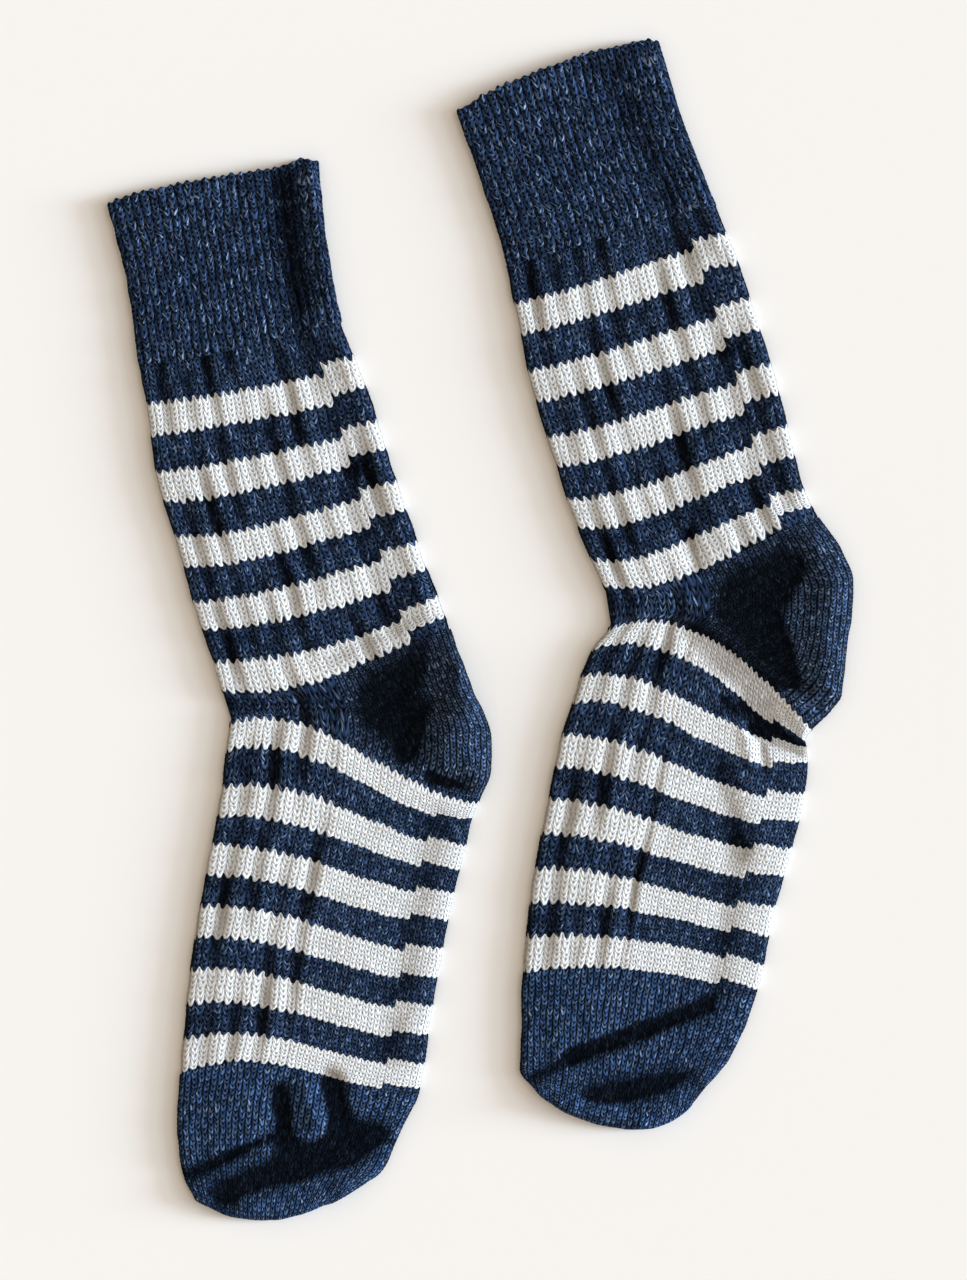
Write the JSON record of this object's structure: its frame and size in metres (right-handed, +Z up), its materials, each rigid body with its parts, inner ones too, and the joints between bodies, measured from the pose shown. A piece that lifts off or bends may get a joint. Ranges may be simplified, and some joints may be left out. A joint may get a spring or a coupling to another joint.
{
  "type": "pair of socks",
  "caption": "Pair of striped mid-calf knitted socks laid flat side by side, with ribbed legs, dark cuffs, heels and toes.",
  "frame": {"origin": "centre of the pair's bounding box, on the surface that the socks lie on", "axes": "+X to the socks' heel side, +Y towards the cuffs, +Z up from the surface"},
  "size_m": [0.3321, 0.5238, 0.0083],
  "materials": {
    "navy_knit": "matt wool knit, flecked navy",
    "striped_knit": "matt wool knit, off-white and navy stripes of six rows",
    "heel_knit": "matt close wool knit, dark navy"
  },
  "bodies": {
    "root": {"left_cuff": "navy_knit", "left_leg": "striped_knit", "left_heel": "heel_knit", "left_foot": "striped_knit", "left_toe": "navy_knit", "right_cuff": "navy_knit", "right_leg": "striped_knit", "right_heel": "heel_knit", "right_foot": "striped_knit", "right_toe": "navy_knit"}
  },
  "joints": []
}
